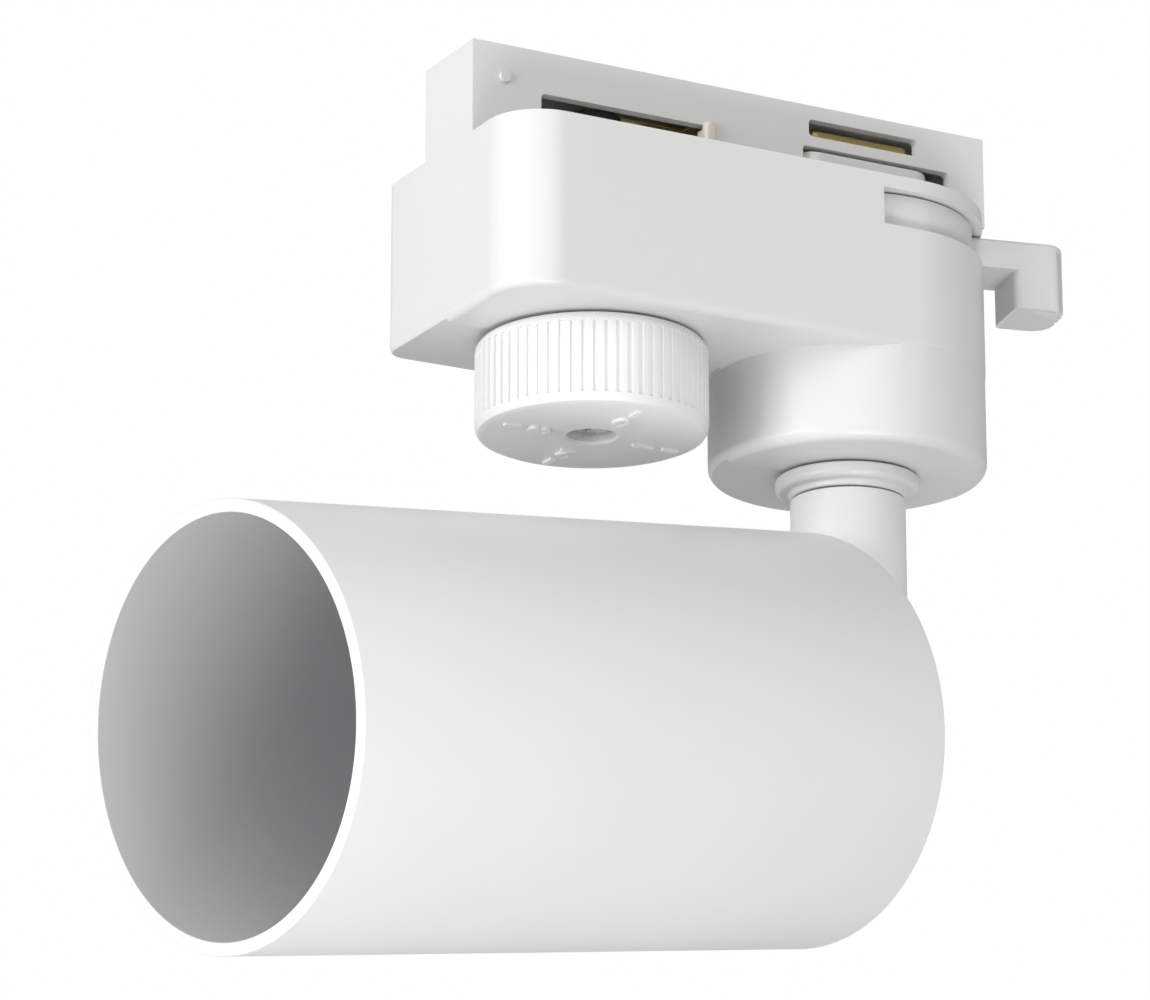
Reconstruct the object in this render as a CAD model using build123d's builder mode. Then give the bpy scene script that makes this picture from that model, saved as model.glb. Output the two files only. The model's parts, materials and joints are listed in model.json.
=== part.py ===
from build123d import *
import math
import os

# Track spotlight: an adapter that clips up into a lighting track, a hollow stem that pans
# below it, and a plain tube head on a knuckle that tilts.
# Millimetres. The origin is on the pan axis, at the adapter's top face, which seats on the
# track. +X runs along the adapter from the selector knob to the lock lever.

os.makedirs("parts", exist_ok=True)

# ---------------------------------------------------------------- driving dimensions
# adapter housing
body_width = 38.0
body_height = 24.0
turret_to_selector = 20.5   # turret's edge to the selector's axis
selector_to_end = 21.5      # selector's axis to the flat left end
body_corner = 7.5
rear_corner = 3.0
parting_step = 0.4           # the rear shell's underside sits this much higher
shell_wall = 1.8
tongue_width = 13.6
tongue_height = 13.0
tongue_wall = 1.5
peg_width = 1.7             # polarity peg, at the slot's right end
tongue_short = 0.3          # the tongue's right end stops this far inside the body's
turret_height = 13.0
turret_radius = 18.9
turret_floor = 2.5
parting_y = 1.0             # the two half shells meet on this upright plane
edge_round = 1.2
turret_round = 1.6

# selector knob, its shaft and its contacts
knob_radius = 15.5
knob_height = 12.6
knob_gap = 0.3
knob_recess_radius = 3.3
knob_recess_depth = 3.0
selector_shaft_radius = 4.0
selector_flange_radius = 6.5
detent_square = 9.0
contact_reach = 10.5
contact_width = 3.0
contact_thickness = 0.8

# lock lever, wing and neutral contact
hub_wall = 1.0              # the housing's wall beside the hub
hub_thickness = 4.8
lever_angle = -13.0
lever_width = 9.4
lever_thickness = 4.2
lever_reach = 31.0
grip_inner = 23.3
grip_drop = 9.7
lock_shaft_radius = 3.0
wing_length = 21.0
wing_width = 13.4
wing_thickness = 3.2
wing_corner = 3.0
neutral_length = 18.0
neutral_width = 9.9

# swivel and stem
nipple_radius = 5.0
nipple_bore = 3.2
collar_radius = 9.8
collar_height = 2.0
stem_radius = 7.8
stem_wall = 1.2
pivot_drop = 73.6           # top face down to the tilt axis
knuckle_radius = 6.5
knuckle_width = 10.6
pivot_radius = 2.0

# head
pan_angle = 11.5
tilt_angle = 8.0
tube_radius = 27.5
tube_wall = 1.7
tube_length = 95.0
tube_back = 9.65            # tilt axis to the tube's rear rim
cap_inset = 1.5
cap_thickness = 2.5
cap_skirt = 5.0
ear_thickness = 2.5
ear_gap = 0.6

# lamp and lampholder
lamp_radius = 25.0
lamp_length = 36.0
holder_radius = 12.5
holder_depth = 8.5
bracket_thickness = 1.2
pin_pitch = 10.0

# terminals and leads
terminal_gap = 1.6
terminal_thickness = 0.6
terminal_foot = -6.5

# fits
running = 0.08              # radial gap of a shaft that turns in its hole
slip = 0.3                  # gap between faces that pass each other
lead_radius = 0.9
lead_spacing = 2.4

# ---------------------------------------------------------------- levels worked out
body_radius = body_width / 2
selector_x = -(body_radius + turret_to_selector)
body_left = selector_to_end - selector_x
body_floor = -body_height
turret_face = -body_height - turret_height
cavity_radius = body_radius - shell_wall
cavity_floor = body_floor + shell_wall
roof = -shell_wall
turret_cavity = turret_face + turret_floor
tongue_half = tongue_width / 2
tongue_right = body_radius - tongue_short

hub_top = roof - slip
hub_bottom = hub_top - hub_thickness
shelf_top = hub_bottom - slip
shelf_thickness = 1.6
hub_well = body_radius - hub_wall
hub_radius = hub_well - 0.4
shelf_radius = cavity_radius + 0.5
terminal_x = -(shelf_radius + slip + 2 * lead_radius + terminal_thickness + terminal_gap / 2)
notch_top = roof - 0.1
notch_bottom = hub_bottom - 0.2
lever_top = hub_top - 0.1

slot_top = 7.1
wing_top = slot_top - 0.5
wing_bottom = wing_top - wing_thickness
neutral_bottom = 9.3
neutral_thickness = 1.0
wing_sweep = math.hypot(wing_length / 2 - wing_corner, wing_width / 2 - wing_corner) + wing_corner
neutral_sweep = neutral_length / 2

screw_places = [(selector_x - 15.0, -12.0), (terminal_x - 7.0, -15.0), (8.0, -15.0)]
screw_radius = 1.45
screw_head_radius = 2.7
screw_head_y = body_radius - 8.0
front_boss_radius = 3.0
rear_boss_radius = 4.2
screw_tip = 9.0


def body_outline():
    """Plan of the body: rounded left corners and a half-round right end."""
    with BuildSketch() as outline:
        with Locations((-body_left / 2, 0)):
            Rectangle(body_left, body_width)
        left_corners = outline.vertices().group_by(Axis.X)[0].sort_by(Axis.Y)
        fillet(left_corners[0], body_corner)
        fillet(outline.vertices().group_by(Axis.X)[0].sort_by(Axis.Y)[-1], rear_corner)
        Circle(body_radius)
    return outline.sketch


def wall_at(x, radius, corner):
    """Distance from the middle plane to the outer wall, at the far side of a boss at x."""
    if x > 0:
        return math.sqrt(body_radius**2 - (x + radius) ** 2)
    past_corner = max(0.0, -x + radius - (body_left - corner))
    return body_radius - corner + math.sqrt(corner**2 - past_corner**2)


# ---------------------------------------------------------------- adapter housing
# The closed housing is made once, then divided on the parting plane into two half shells.
slot_left = selector_x - math.sqrt(contact_reach**2 - (tongue_half - tongue_wall) ** 2) - 2.2
slot_right = selector_x + 15.1
wing_chord = math.sqrt(wing_sweep**2 - (tongue_half - tongue_wall) ** 2)
neutral_chord = math.sqrt(neutral_sweep**2 - (tongue_half - tongue_wall) ** 2)

with BuildPart() as housing:
    with BuildSketch(Plane.XY.offset(body_floor)):
        add(body_outline())
    extrude(amount=body_height)
    fillet(housing.faces().sort_by(Axis.Z)[0].edges(), edge_round)
    with BuildSketch(Plane.XY.offset(turret_face)):
        Circle(turret_radius)
    extrude(amount=turret_height + body_height / 2)
    fillet(housing.faces().sort_by(Axis.Z)[0].edges(), turret_round)
    with BuildSketch(Plane.XY):
        with Locations(((tongue_right - body_left) / 2, 0)):
            Rectangle(body_left + tongue_right, tongue_width)
    extrude(amount=tongue_height)
    # cavities
    with BuildSketch(Plane.XY.offset(cavity_floor)):
        offset(body_outline(), amount=-shell_wall)
    extrude(amount=roof - cavity_floor, mode=Mode.SUBTRACT)
    with BuildSketch(Plane.XY.offset(turret_cavity)):
        Circle(turret_radius - shell_wall - 0.2)
    extrude(amount=cavity_floor - turret_cavity + 1, mode=Mode.SUBTRACT)
    with BuildSketch(Plane.XY):
        with Locations(((tongue_right - body_left) / 2, 0)):
            Rectangle(body_left + tongue_right - 2 * tongue_wall, tongue_width - 2 * tongue_wall)
    extrude(amount=tongue_height - tongue_wall, mode=Mode.SUBTRACT)
    # shelf that carries the lever's hub
    with BuildSketch(Plane.XY.offset(shelf_top - shelf_thickness)):
        Circle(shelf_radius)
    extrude(amount=shelf_thickness)
    # well for the hub, between the roof and the shelf
    with BuildSketch(Plane.XY.offset(shelf_top)):
        Circle(hub_well)
    extrude(amount=roof - shelf_top, mode=Mode.SUBTRACT)
    # bosses of the shell screws, on both sides of the parting plane
    for x, z in screw_places:
        front_reach = wall_at(x, front_boss_radius, body_corner) - shell_wall / 2
        rear_reach = wall_at(x, rear_boss_radius, rear_corner) - shell_wall / 2
        with BuildSketch(Plane.XZ.offset(-parting_y)):
            with Locations((x, z)):
                Circle(front_boss_radius)
        extrude(amount=front_reach + parting_y)
        with BuildSketch(Plane.XZ.offset(-parting_y)):
            with Locations((x, z)):
                Circle(rear_boss_radius)
        extrude(amount=-(rear_reach - parting_y))
    # post that stops the swivel after most of a turn
    with BuildSketch(Plane.XY.offset(turret_cavity - 0.5)):
        with Locations((13.5, 0)):
            Rectangle(4.0, 3.0)
    extrude(amount=5.0)
    # ribs that hold the detent spring
    for x in (selector_x - 8.0, selector_x + 8.0):
        with BuildSketch(Plane.XY.offset(cavity_floor - 0.5)):
            with Locations((x, -(cavity_radius + 6.2) / 2 - 0.2)):
                Rectangle(1.4, cavity_radius - 5.2)
        extrude(amount=9.5)
    # bores on the pan axis and on the selector axis
    with BuildSketch(Plane.XY.offset(turret_face - 1)):
        Circle(nipple_radius + running)
    extrude(amount=turret_floor + 2, mode=Mode.SUBTRACT)
    with BuildSketch(Plane.XY.offset(shelf_top - shelf_thickness - 1)):
        Circle(lock_shaft_radius + running)
    extrude(amount=-shelf_top + shelf_thickness + 2, mode=Mode.SUBTRACT)
    with BuildSketch(Plane.XY.offset(body_floor - 1)):
        with Locations((selector_x, 0)):
            Circle(selector_shaft_radius + running)
    extrude(amount=body_height + 2, mode=Mode.SUBTRACT)
    # opening in the roof for the two terminals
    with BuildSketch(Plane.XY.offset(roof - 1)):
        with Locations((terminal_x - 0.5, 0)):
            Rectangle(7.0, 8.0)
    extrude(amount=shell_wall + 2, mode=Mode.SUBTRACT)
    # notch round the right end, through which the lever swings
    with BuildSketch(Plane.XY.offset(notch_bottom)):
        with BuildLine():
            CenterArc((0, 0), body_radius + 1.2, -105.5, 111.5)
            PolarLine((0, 0), body_radius + 1.2, -105.5)
            PolarLine((0, 0), body_radius + 1.2, 6.0)
        make_face()
        Circle(hub_well - 0.4, mode=Mode.SUBTRACT)
    extrude(amount=notch_top - notch_bottom, mode=Mode.SUBTRACT)
    # contact and wing slots in the front wall
    for left, right, bottom, top in (
            (slot_left, slot_right, 1.0, slot_top),
            (-wing_chord - 0.4, wing_chord + 3.0, wing_bottom - 0.5, slot_top),
            (-neutral_chord - 2.2, neutral_chord + 0.7, 8.6, 11.0)):
        with BuildSketch(Plane.XZ.offset(tongue_half + 1)):
            with Locations(((left + right) / 2, (bottom + top) / 2)):
                RectangleRounded(right - left, top - bottom, 0.6)
        extrude(amount=-(tongue_wall + 1.5), mode=Mode.SUBTRACT)
    # and in the rear wall
    for left, right, bottom, top in (
            (slot_left, selector_x * 2 - slot_left, 1.0, slot_top),
            (-wing_chord - 3.0, wing_chord + 0.4, wing_bottom - 0.5, slot_top),
            (-neutral_chord - 0.7, neutral_chord + 2.2, 8.6, 11.0)):
        with BuildSketch(Plane.XZ.offset(-tongue_half - 1)):
            with Locations(((left + right) / 2, (bottom + top) / 2)):
                RectangleRounded(right - left, top - bottom, 0.6)
        extrude(amount=tongue_wall + 1.5, mode=Mode.SUBTRACT)
    # screw pilot holes, clearance holes and head recesses
    for x, z in screw_places:
        with BuildSketch(Plane.XZ.offset(screw_tip)):
            with Locations((x, z)):
                Circle(screw_radius)
        extrude(amount=-(screw_tip + parting_y), mode=Mode.SUBTRACT)
        with BuildSketch(Plane.XZ.offset(-parting_y)):
            with Locations((x, z)):
                Circle(screw_radius + 0.15)
        extrude(amount=-(screw_head_y - parting_y), mode=Mode.SUBTRACT)
        with BuildSketch(Plane.XZ.offset(-screw_head_y)):
            with Locations((x, z)):
                Circle(screw_head_radius + 0.3)
        extrude(amount=-(body_radius - screw_head_y + 1), mode=Mode.SUBTRACT)

parting = Plane.XZ.offset(-parting_y)

with BuildPart() as front_shell:
    add(housing.part)
    split(bisect_by=parting, keep=Keep.TOP)
    # moulded pip near the tongue's left end
    with BuildSketch(Plane.XZ.offset(tongue_half - 0.5)):
        with Locations((4.7 - body_left, 8.4)):
            Circle(0.75)
    extrude(amount=1.0)
front_shell.part.label = "front_shell"
export_step(front_shell.part, "parts/front_shell.step")

with BuildPart() as rear_shell:
    add(housing.part)
    split(bisect_by=parting, keep=Keep.BOTTOM)
    # its underside is stepped up a little from the front shell's
    with BuildSketch(Plane.XY.offset(body_floor - 1)):
        with Locations((-body_left / 2 - 1, body_radius / 2 + parting_y)):
            Rectangle(body_left + 2, body_radius)
        Circle(turret_radius + 0.1, mode=Mode.SUBTRACT)
    extrude(amount=1 + parting_step, mode=Mode.SUBTRACT)
    with BuildSketch(Plane.XY.offset(turret_face - 1)):
        with Locations((0, body_radius / 2 + parting_y)):
            Rectangle(2 * body_radius + 2, body_radius)
    extrude(amount=1 + parting_step, mode=Mode.SUBTRACT)
rear_shell.part.label = "rear_shell"
export_step(rear_shell.part, "parts/rear_shell.step")

with BuildPart() as shell_screws:
    for x, z in screw_places:
        with BuildSketch(Plane.XZ.offset(-screw_head_y)):
            with Locations((x, z)):
                Circle(screw_radius)
        extrude(amount=screw_head_y + screw_tip - 0.5)
        with BuildSketch(Plane.XZ.offset(-screw_head_y)):
            with Locations((x, z)):
                Circle(screw_head_radius)
        extrude(amount=-2.0)
        with BuildSketch(Plane.XZ.offset(-screw_head_y - 2.0)):
            with Locations((x, z)):
                Rectangle(3.4, 0.8)
                Rectangle(0.8, 3.4)
        extrude(amount=1.1, mode=Mode.SUBTRACT)
shell_screws.part.label = "shell_screws"
export_step(shell_screws.part, "parts/shell_screws.step")

with BuildPart() as polarity_peg:
    with BuildSketch(Plane.XZ.offset(tongue_half)):
        with Locations((slot_right - peg_width / 2, 5.6)):
            SlotOverall(4.2, peg_width + 0.2, rotation=90)
    extrude(amount=0.9)
    fillet(polarity_peg.faces().sort_by(Axis.Y)[0].edges(), 0.6)
    with BuildSketch(Plane.XZ.offset(tongue_half - tongue_wall)):
        with Locations((slot_right - peg_width / 2, 4.1)):
            Rectangle(peg_width, 4.8)
    extrude(amount=tongue_wall)
polarity_peg.part.label = "polarity_peg"
export_step(polarity_peg.part, "parts/polarity_peg.step")

# ---------------------------------------------------------------- selector
knob_top = body_floor - knob_gap
knob_face = knob_top - knob_height

with BuildPart() as selector_knob:
    with BuildSketch(Plane.XY.offset(knob_face)):
        with Locations((selector_x, 0)):
            Circle(knob_radius)
    extrude(amount=knob_height)
    fillet(selector_knob.faces().sort_by(Axis.Z)[0].edges(), 1.0)
    fillet(selector_knob.faces().sort_by(Axis.Z)[-1].edges(), 0.5)
    with BuildSketch(Plane.XY.offset(knob_face)):
        with Locations((selector_x, 0)):
            Circle(knob_recess_radius)
    extrude(amount=knob_recess_depth, mode=Mode.SUBTRACT)
    with BuildSketch(Plane.XY.offset(knob_face)):
        with Locations((selector_x, 0)):
            Circle(screw_radius + 0.1)
    extrude(amount=knob_height, mode=Mode.SUBTRACT)
    # square socket for the shaft's end
    with BuildSketch(Plane.XY.offset(knob_top - 4.0)):
        with Locations((selector_x, 0)):
            Rectangle(5.4, 5.4)
    extrude(amount=4.0, mode=Mode.SUBTRACT)
selector_knob.part.label = "selector_knob"
export_step(selector_knob.part, "parts/selector_knob.step")

with BuildPart() as knob_screw:
    with BuildSketch(Plane.XY.offset(knob_face + knob_recess_depth - 1.8)):
        with Locations((selector_x, 0)):
            Circle(screw_head_radius)
    extrude(amount=1.8)
    with BuildSketch(Plane.XY.offset(knob_face + knob_recess_depth)):
        with Locations((selector_x, 0)):
            Circle(screw_radius)
    extrude(amount=12.0)
    with BuildSketch(Plane.XY.offset(knob_face + knob_recess_depth - 1.8)):
        with Locations((selector_x, 0)):
            Rectangle(3.4, 0.8)
            Rectangle(0.8, 3.4)
    extrude(amount=1.0, mode=Mode.SUBTRACT)
knob_screw.part.label = "knob_screw"
export_step(knob_screw.part, "parts/knob_screw.step")

rotor_top = slot_top + 0.6
with BuildPart() as selector_shaft:
    with BuildSketch(Plane.XY.offset(knob_top - 4.0)):
        with Locations((selector_x, 0)):
            Rectangle(5.2, 5.2)
    extrude(amount=4.0)
    with BuildSketch(Plane.XY.offset(knob_top)):
        with Locations((selector_x, 0)):
            Circle(selector_shaft_radius)
    extrude(amount=rotor_top - knob_top)
    with BuildSketch(Plane.XY.offset(cavity_floor + slip)):
        with Locations((selector_x, 0)):
            Circle(selector_flange_radius)
    extrude(amount=2.0)
    with BuildSketch(Plane.XY.offset(cavity_floor + slip + 2.0)):
        with Locations((selector_x, 0)):
            RectangleRounded(detent_square, detent_square, 1.2)
    extrude(amount=6.0)
    with BuildSketch(Plane.XY.offset(knob_top - 4.0)):
        with Locations((selector_x, 0)):
            Circle(screw_radius)
    extrude(amount=8.0, mode=Mode.SUBTRACT)
selector_shaft.part.label = "selector_shaft"
export_step(selector_shaft.part, "parts/selector_shaft.step")

with BuildPart() as live_contacts:
    for index, angle in enumerate((180, 90, 0)):
        level = 1.6 + 2.2 * index
        with BuildSketch(Plane((selector_x, 0, level), x_dir=(
                math.cos(math.radians(angle)), math.sin(math.radians(angle)), 0))):
            with Locations((contact_reach / 2, 0)):
                Rectangle(contact_reach, contact_width)
            with Locations((contact_reach - 0.1, 0)):
                Rectangle(0.2, contact_width)
            Circle(selector_shaft_radius, mode=Mode.SUBTRACT)
            Circle(contact_reach, mode=Mode.INTERSECT)
        extrude(amount=contact_thickness)
live_contacts.part.label = "live_contacts"
export_step(live_contacts.part, "parts/live_contacts.step")

with BuildPart() as detent_spring:
    with BuildSketch(Plane.XY.offset(cavity_floor + slip + 3.0)):
        with Locations((selector_x, -6.35)):
            Rectangle(14.6, 0.5)
    extrude(amount=4.0)
detent_spring.part.label = "detent_spring"
export_step(detent_spring.part, "parts/detent_spring.step")

# The two terminals are clamped between the tongue's side walls and hang into the body.
live_foot_x = terminal_x - terminal_gap / 2 - terminal_thickness
neutral_foot_x = terminal_x + terminal_gap / 2
terminal_clamp = tongue_width - 2 * tongue_wall

with BuildPart() as live_terminal:
    with BuildSketch(Plane.XY.offset(rotor_top + slip)):
        with Locations(((selector_x - 2 + live_foot_x) / 2, 0)):
            Rectangle(live_foot_x - selector_x + 2, 3.0)
        with Locations((live_foot_x + terminal_thickness - 2.0, 0)):
            Rectangle(4.0, terminal_clamp)
    extrude(amount=terminal_thickness)
    with BuildSketch(Plane.YZ.offset(live_foot_x)):
        with Locations((0, (rotor_top + slip + terminal_thickness + terminal_foot) / 2)):
            Rectangle(3.0, rotor_top + slip + terminal_thickness - terminal_foot)
    extrude(amount=terminal_thickness)
live_terminal.part.label = "live_terminal"
export_step(live_terminal.part, "parts/live_terminal.step")

neutral_top = neutral_bottom + neutral_thickness + slip + terminal_thickness
with BuildPart() as neutral_terminal:
    with BuildSketch(Plane.XY.offset(neutral_top - terminal_thickness)):
        with Locations(((neutral_foot_x - lock_shaft_radius - 0.7) / 2, 0)):
            Rectangle(-lock_shaft_radius - 0.7 - neutral_foot_x, 3.0)
        with Locations((neutral_foot_x + 2.0, 0)):
            Rectangle(4.0, terminal_clamp)
    extrude(amount=terminal_thickness)
    with BuildSketch(Plane.YZ.offset(neutral_foot_x)):
        with Locations((0, (neutral_top + terminal_foot) / 2)):
            Rectangle(3.0, neutral_top - terminal_foot)
    extrude(amount=terminal_thickness)
neutral_terminal.part.label = "neutral_terminal"
export_step(neutral_terminal.part, "parts/neutral_terminal.step")

# ---------------------------------------------------------------- lock lever
lever_plane_x = (math.cos(math.radians(lever_angle)), math.sin(math.radians(lever_angle)), 0)

with BuildPart() as lock_lever:
    with BuildSketch(Plane.XY.offset(hub_bottom)):
        Circle(hub_radius)
    extrude(amount=hub_thickness)
    with BuildSketch(Plane.XY.offset(shelf_top - shelf_thickness)):
        Circle(lock_shaft_radius)
    extrude(amount=-shelf_top + shelf_thickness + tongue_height - tongue_wall - slip)
    with BuildSketch(Plane((0, 0, lever_top - lever_thickness), x_dir=lever_plane_x)):
        with Locations(((hub_radius - 5 + lever_reach) / 2, 0)):
            Rectangle(lever_reach - hub_radius + 5, lever_width)
        Circle(lever_reach, mode=Mode.INTERSECT)
    extrude(amount=lever_thickness)
    with BuildSketch(Plane((0, 0, lever_top - grip_drop), x_dir=lever_plane_x)):
        with Locations(((grip_inner + lever_reach) / 2, 0)):
            Rectangle(lever_reach - grip_inner, lever_width)
        Circle(lever_reach, mode=Mode.INTERSECT)
    extrude(amount=grip_drop)
    upright = lock_lever.edges().filter_by(Axis.Z).filter_by(
        lambda e: math.hypot(e.center().X, e.center().Y) > lever_reach - 1.0)
    fillet(upright, 2.8)
    inner_upright = lock_lever.edges().filter_by(Axis.Z).filter_by(
        lambda e: abs(math.hypot(e.center().X, e.center().Y) - grip_inner) < 1.2
        and e.center().Z < lever_top - lever_thickness)
    fillet(inner_upright, 1.2)
    # finger grooves round the grip's near side and tip
    with BuildSketch(Plane((0, 0, lever_top - grip_drop - 1), x_dir=lever_plane_x)):
        with Locations(
                (lever_reach + 0.25, 0.6), (lever_reach + 0.25, -0.9), (lever_reach - 0.15, -2.4),
                (lever_reach - 1.35, -3.9)):
            Circle(0.55)
    extrude(amount=grip_drop, mode=Mode.SUBTRACT)
    rim = lock_lever.edges().filter_by(
        lambda e: abs(e.center().Z - lever_top) < 0.01
        and math.hypot(e.center().X, e.center().Y) > lever_reach - 4.5)
    fillet(rim, 0.6)
lock_lever.part.label = "lock_lever"
export_step(lock_lever.part, "parts/lock_lever.step")

with BuildPart() as lock_wing:
    with BuildSketch(Plane.XY.offset(wing_bottom)):
        RectangleRounded(wing_length, wing_width, wing_corner)
        Circle(lock_shaft_radius, mode=Mode.SUBTRACT)
    extrude(amount=wing_thickness)
lock_wing.part.label = "lock_wing"
export_step(lock_wing.part, "parts/lock_wing.step")

with BuildPart() as neutral_contact:
    with BuildSketch(Plane.XY.offset(neutral_bottom)):
        RectangleRounded(neutral_length, neutral_width, 2.5)
        Circle(neutral_sweep, mode=Mode.INTERSECT)
        Circle(lock_shaft_radius, mode=Mode.SUBTRACT)
    extrude(amount=neutral_thickness)
neutral_contact.part.label = "neutral_contact"
export_step(neutral_contact.part, "parts/neutral_contact.step")

# ---------------------------------------------------------------- swivel and stem
collar_top = turret_face - slip
collar_bottom = collar_top - collar_height
bush_height = 0.8
stem_top = collar_bottom - bush_height - 0.25
stem_bottom = -pivot_drop + knuckle_radius + 1.4
nipple_top = turret_cavity + 8.0

with BuildPart() as swivel_collar:
    with BuildSketch(Plane.XY.offset(collar_bottom)):
        Circle(collar_radius)
    extrude(amount=collar_height)
    fillet(swivel_collar.faces().sort_by(Axis.Z)[0].edges(), 0.8)
    with BuildSketch(Plane.XY.offset(collar_bottom - bush_height)):
        Circle(stem_radius + 0.1)
    extrude(amount=bush_height)
    with BuildSketch(Plane.XY.offset(collar_bottom - bush_height)):
        Circle(nipple_radius)
    extrude(amount=collar_height + bush_height, mode=Mode.SUBTRACT)
swivel_collar.part.label = "swivel_collar"
export_step(swivel_collar.part, "parts/swivel_collar.step")

with BuildPart() as stem_nipple:
    with BuildSketch(Plane.XY.offset(stem_top - 8.0)):
        Circle(nipple_radius)
        Circle(nipple_bore, mode=Mode.SUBTRACT)
    extrude(amount=nipple_top - stem_top + 8.0)
stem_nipple.part.label = "stem_nipple"
export_step(stem_nipple.part, "parts/stem_nipple.step")

friction_base = turret_cavity + slip
with BuildPart() as friction_washer:
    with BuildSketch(Plane.XY.offset(friction_base)):
        Circle(9.0)
        Circle(nipple_radius, mode=Mode.SUBTRACT)
    extrude(amount=0.8)
friction_washer.part.label = "friction_washer"
export_step(friction_washer.part, "parts/friction_washer.step")

with BuildPart() as stop_washer:
    with BuildSketch(Plane.XY.offset(friction_base + 0.8)):
        Circle(8.5)
        with Locations((-9.5, 0)):
            Rectangle(6.5, 3.0)
        Circle(nipple_radius, mode=Mode.SUBTRACT)
    extrude(amount=1.0)
stop_washer.part.label = "stop_washer"
export_step(stop_washer.part, "parts/stop_washer.step")

with BuildPart() as wave_washer:
    with BuildSketch(Plane.XY.offset(friction_base + 1.8)):
        Circle(8.0)
        Circle(nipple_radius, mode=Mode.SUBTRACT)
    extrude(amount=0.6)
wave_washer.part.label = "wave_washer"
export_step(wave_washer.part, "parts/wave_washer.step")

with BuildPart() as nipple_nut:
    with BuildSketch(Plane.XY.offset(friction_base + 2.4)):
        RegularPolygon(8.0, 6, major_radius=True)
        Circle(nipple_radius, mode=Mode.SUBTRACT)
    extrude(amount=3.0)
nipple_nut.part.label = "nipple_nut"
export_step(nipple_nut.part, "parts/nipple_nut.step")

with BuildPart() as stem_tube:
    with BuildSketch(Plane.XY.offset(stem_bottom)):
        Circle(stem_radius)
        Circle(stem_radius - stem_wall, mode=Mode.SUBTRACT)
    extrude(amount=stem_top - stem_bottom)
stem_tube.part.label = "stem_tube"
export_step(stem_tube.part, "parts/stem_tube.step")

# threaded bush that joins the stem tube to the nipple
with BuildPart() as stem_bush:
    with BuildSketch(Plane.XY.offset(stem_top - 8.0)):
        Circle(stem_radius - stem_wall)
        Circle(nipple_radius, mode=Mode.SUBTRACT)
    extrude(amount=8.0)
stem_bush.part.label = "stem_bush"
export_step(stem_bush.part, "parts/stem_bush.step")

# ---------------------------------------------------------------- head frame
pan = math.radians(pan_angle)
tilt = math.radians(tilt_angle)
forward = (-math.cos(tilt) * math.cos(pan), -math.cos(tilt) * math.sin(pan), -math.sin(tilt))
side = (-math.sin(pan), math.cos(pan), 0)
pivot = (0, 0, -pivot_drop)
head = Plane(origin=pivot, x_dir=side, z_dir=forward)       # local Z runs out to the mouth
turn = Plane(origin=pivot, x_dir=(0, 0, 1), z_dir=side)     # faces along the tilt axis
stem_frame = Plane(origin=(0, 0, 0), x_dir=side, z_dir=(0, 0, 1))

# hollow knuckle: plugs into the stem, and its barrel is slotted for the leads
with BuildPart() as stem_knuckle:
    with BuildSketch(stem_frame.offset(stem_bottom)):
        Circle(stem_radius - stem_wall)
    extrude(amount=9.0)
    with BuildSketch(stem_frame.offset(stem_bottom - 1.0)):
        Circle(stem_radius)
    extrude(amount=1.0)
    with BuildSketch(stem_frame.offset(-pivot_drop)):
        Rectangle(knuckle_width, 2 * knuckle_radius)
    extrude(amount=pivot_drop + stem_bottom - 0.5)
    with BuildSketch(turn.offset(-knuckle_width / 2)):
        Circle(knuckle_radius)
    extrude(amount=knuckle_width)
    with BuildSketch(stem_frame.offset(-pivot_drop)):
        Circle(2.7)
    extrude(amount=pivot_drop + stem_bottom + 9.0, mode=Mode.SUBTRACT)
    # slot for the leads, open to the front and below through the whole tilt
    with BuildSketch(turn.offset(-2.7)):
        with Locations((-2.7, -2.7)):
            Rectangle(9.8, 9.8)
    extrude(amount=5.4, mode=Mode.SUBTRACT)
    with BuildSketch(turn.offset(-knuckle_width / 2 - 1)):
        Circle(pivot_radius)
    extrude(amount=knuckle_width + 2, mode=Mode.SUBTRACT)
stem_knuckle.part.label = "stem_knuckle"
export_step(stem_knuckle.part, "parts/stem_knuckle.step")

ear_inner = knuckle_width / 2 + ear_gap
ear_outer = ear_inner + ear_thickness
grommet_flange = ear_inner - 0.6
washer_thickness = ear_gap - slip

with BuildPart() as pivot_washers:
    for outward, start in ((1, knuckle_width / 2), (-1, knuckle_width / 2)):
        with BuildSketch(turn.offset(outward * start)):
            Circle(5.2)
            Circle(pivot_radius, mode=Mode.SUBTRACT)
        extrude(amount=outward * washer_thickness)
pivot_washers.part.label = "pivot_washers"
export_step(pivot_washers.part, "parts/pivot_washers.step")

with BuildPart() as pivot_screws:
    for outward in (1, -1):
        with BuildSketch(turn.offset(outward * 2.8)):
            Circle(pivot_radius)
        extrude(amount=outward * (ear_outer + slip - 2.8))
        with BuildSketch(turn.offset(outward * (ear_outer + slip))):
            Circle(3.8)
        extrude(amount=outward * 2.0)
        with BuildSketch(turn.offset(outward * (ear_outer + slip + 2.0))):
            RegularPolygon(1.5, 6, major_radius=True)
        extrude(amount=-outward * 1.3, mode=Mode.SUBTRACT)
pivot_screws.part.label = "pivot_screws"
export_step(pivot_screws.part, "parts/pivot_screws.step")

# ---------------------------------------------------------------- head
tube_bore = tube_radius - tube_wall
cap_back = tube_back + cap_inset
cap_front = cap_back + cap_thickness

with BuildPart() as head_tube:
    with BuildSketch(head.offset(tube_back)):
        Circle(tube_radius)
    extrude(amount=tube_length)
    with BuildSketch(head.offset(tube_back)):
        Circle(tube_bore)
    extrude(amount=tube_length, mode=Mode.SUBTRACT)
    chamfer(head_tube.edges().filter_by(GeomType.CIRCLE), 0.3)
head_tube.part.label = "head_tube"
export_step(head_tube.part, "parts/head_tube.step")

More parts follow.
